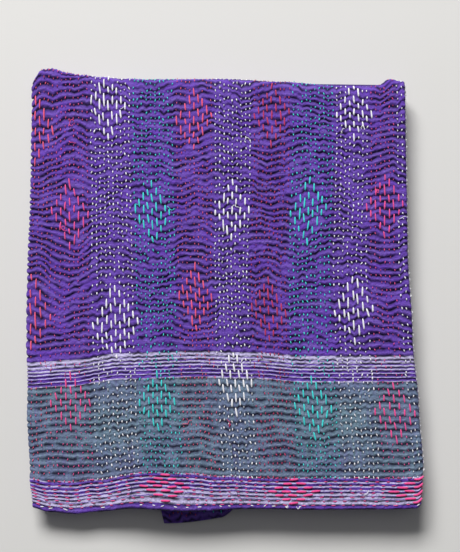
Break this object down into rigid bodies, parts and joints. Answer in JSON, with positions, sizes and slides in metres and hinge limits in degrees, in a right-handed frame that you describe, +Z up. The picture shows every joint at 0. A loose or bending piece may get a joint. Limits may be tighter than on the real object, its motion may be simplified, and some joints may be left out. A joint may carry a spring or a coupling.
{
  "type": "folded kantha quilt",
  "caption": "Hand-stitched cotton kantha quilt, folded in three across and in four along into a flat bundle that rests on a surface.",
  "frame": {"origin": "the middle of the bundle's box, at its underside", "axes": "+Z up, +Y towards the two back folds, +X to the right of the face panel"},
  "size_m": [0.4346, 0.5072, 0.0358],
  "materials": {
    "sari_cotton": "matte violet cotton with hand-quilted ridges",
    "white_thread": "soft matte cotton thread",
    "aqua_thread": "soft matte cotton thread",
    "pink_thread": "soft matte cotton thread",
    "coral_thread": "soft matte cotton thread",
    "crimson_thread": "soft matte cotton thread"
  },
  "bodies": {
    "root": {"quilt": "sari_cotton"}
  },
  "joints": []
}
